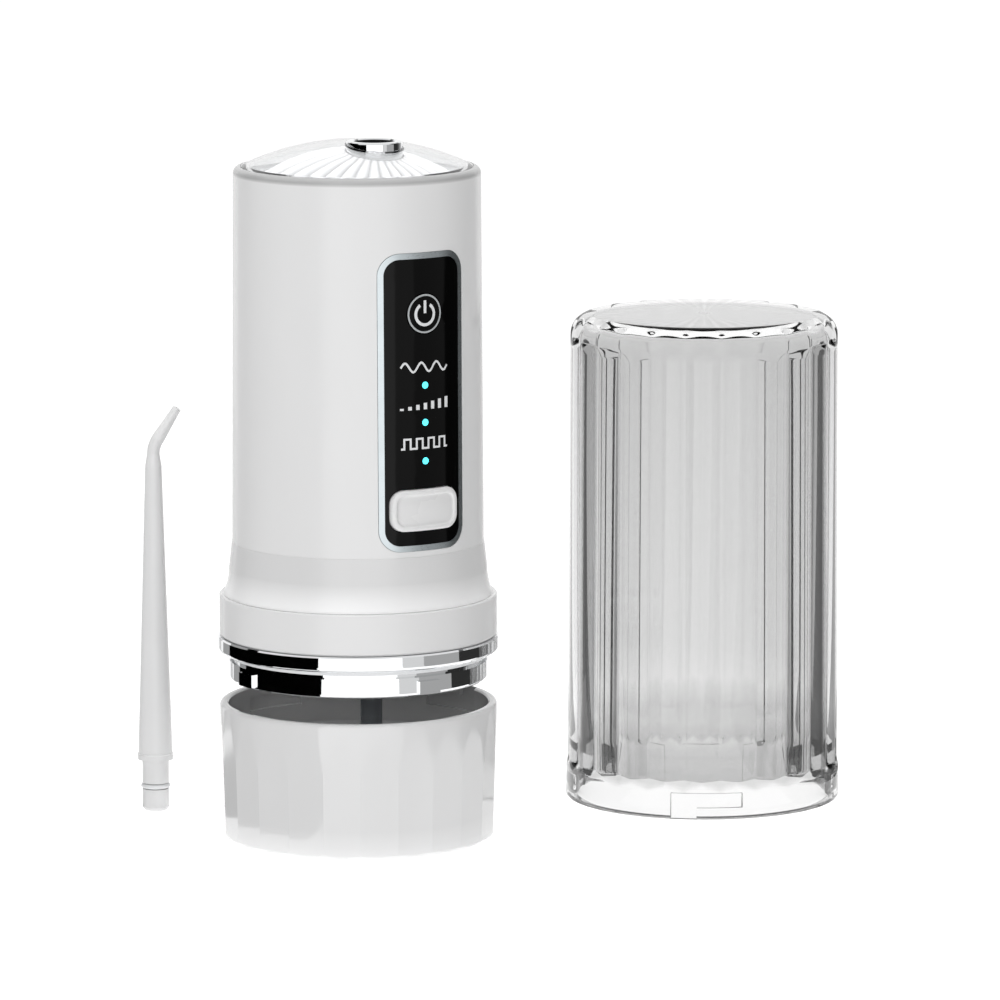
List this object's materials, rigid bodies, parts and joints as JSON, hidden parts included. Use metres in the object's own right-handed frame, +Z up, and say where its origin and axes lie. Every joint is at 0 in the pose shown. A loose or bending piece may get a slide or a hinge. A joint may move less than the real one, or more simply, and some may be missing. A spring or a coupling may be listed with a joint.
{
  "type": "water flosser",
  "caption": "Cordless travel water flosser: round handle held over a faceted base cup, with its clear fluted cover and bent jet nozzle standing beside it.",
  "frame": {"origin": "centre of the base cup's foot, on the surface that the flosser stands on", "axes": "+Z up along the handle's axis, -Y out of the control panel, +X towards the clear cover"},
  "size_m": [0.147, 0.0834, 0.148],
  "materials": {
    "white_gloss": "moulded gloss",
    "chrome_plate": "mirror plate",
    "clear_plastic": "clear gloss, slightly grey",
    "panel_black": "piano gloss",
    "bezel_silver": "satin silver",
    "cyan_lens": "clear cyan, lit",
    "button_white": "satin gloss",
    "insert_white": "moulded gloss",
    "socket_black": "satin",
    "black_rubber": "matte",
    "pale_silicone": "milky satin",
    "plug_silicone": "matte",
    "inner_plastic": "satin",
    "steel": "bright",
    "brass_parts": "turned",
    "gear_plastic": "satin",
    "tube_plastic": "translucent grey",
    "board_green": "solder mask",
    "battery_wrap": "shrink film",
    "led_chip": "chip"
  },
  "bodies": {
    "base_cup": {"base_cup": "white_gloss"},
    "collar_seal": {"collar_seal": "pale_silicone"},
    "handle": {"bayonet_collar": "chrome_plate", "body_flange": "white_gloss", "main_shell": "white_gloss", "panel_bezel": "bezel_silver", "panel_window": "panel_black", "light_pipes": "cyan_lens", "top_lens": "clear_plastic", "sunburst_insert": "insert_white", "turret_retainer": "inner_plastic", "turret_housing": "inner_plastic", "housing_screws": "steel", "chassis": "inner_plastic", "bulkhead": "white_gloss", "bulkhead_o_ring": "black_rubber", "bulkhead_screws": "steel", "battery_cell": "battery_wrap", "battery_terminals": "steel", "motor_can": "steel", "motor_cap": "socket_black", "motor_screws": "steel", "gear_axle": "steel", "pump_cylinder": "inner_plastic", "valve_block": "inner_plastic", "valve_balls": "steel", "suction_tube": "tube_plastic", "pressure_tube": "tube_plastic", "pickup_tube": "tube_plastic", "pickup_strainer": "inner_plastic", "circuit_board": "board_green", "board_screws": "steel", "tact_switches": "socket_black", "indicator_leds": "led_chip", "charge_socket": "steel", "charge_board": "board_green"},
    "nozzle_turret": {"turret_stem": "socket_black", "turret_cap": "chrome_plate", "turret_o_ring": "black_rubber"},
    "power_key": {"power_key": "panel_black"},
    "mode_button": {"mode_button": "button_white"},
    "motor_rotor": {"motor_shaft": "steel", "drive_pinion": "brass_parts"},
    "crank": {"crank_gear": "gear_plastic", "crank_pin": "steel", "crank_roller": "brass_parts"},
    "plunger": {"plunger_yoke": "gear_plastic", "plunger_seal": "black_rubber"},
    "port_plug": {"port_plug": "plug_silicone"},
    "clear_cover": {"clear_cover": "clear_plastic"},
    "nozzle": {"nozzle": "white_gloss", "nozzle_o_ring": "pale_silicone"}
  },
  "joints": [
    {"name": "handle_lift", "type": "slide", "parent": "base_cup", "child": "collar_seal", "axis": [0, 0, 1], "range_m": [-0.01065, 0.1]},
    {"name": "bayonet_turn", "type": "hinge", "parent": "collar_seal", "child": "handle", "pos_m": [0, 0, 0.0404], "axis": [0, 0, 1], "range_deg": [0, 20]},
    {"name": "turret_spin", "type": "hinge", "parent": "handle", "child": "nozzle_turret", "pos_m": [0, -0.0067, 0.1415], "axis": [0, 0, 1], "continuous": true},
    {"name": "power_press", "type": "slide", "parent": "handle", "child": "power_key", "axis": [0, 1, 0], "range_m": [0, 0.0004], "stiffness_N_per_m": 400, "springref_m": -0.001},
    {"name": "mode_press", "type": "slide", "parent": "handle", "child": "mode_button", "axis": [0, 1, 0], "range_m": [0, 0.0006], "stiffness_N_per_m": 400, "springref_m": -0.001},
    {"name": "crank_spin", "type": "hinge", "parent": "handle", "child": "crank", "pos_m": [0, 0.004, 0.079], "axis": [0, 0, 1], "continuous": true},
    {"name": "motor_spin", "type": "hinge", "parent": "handle", "child": "motor_rotor", "pos_m": [0.0115, 0.004, 0.079], "axis": [0, 0, 1], "continuous": true},
    {"name": "plunger_slide", "type": "slide", "parent": "handle", "child": "plunger", "axis": [0, 1, 0], "range_m": [-0.002, 0.002]},
    {"name": "port_flap", "type": "hinge", "parent": "handle", "child": "port_plug", "pos_m": [0, 0.02495, 0.1162], "axis": [-1, 0, 0], "range_deg": [0, 100], "stiffness_Nm_per_rad": 0.002, "springref_deg": -17.19},
    {"name": "cover_lift", "type": "slide", "parent": "base_cup", "child": "clear_cover", "axis": [0, 0, 1], "range_m": [0, 0.12]},
    {"name": "nozzle_lift", "type": "slide", "parent": "base_cup", "child": "nozzle", "axis": [0, 0, 1], "range_m": [0, 0.1]}
  ],
  "couplings": [
    {"joint": "crank_spin", "follows": "motor_spin", "ratio": -0.27778}
  ]
}
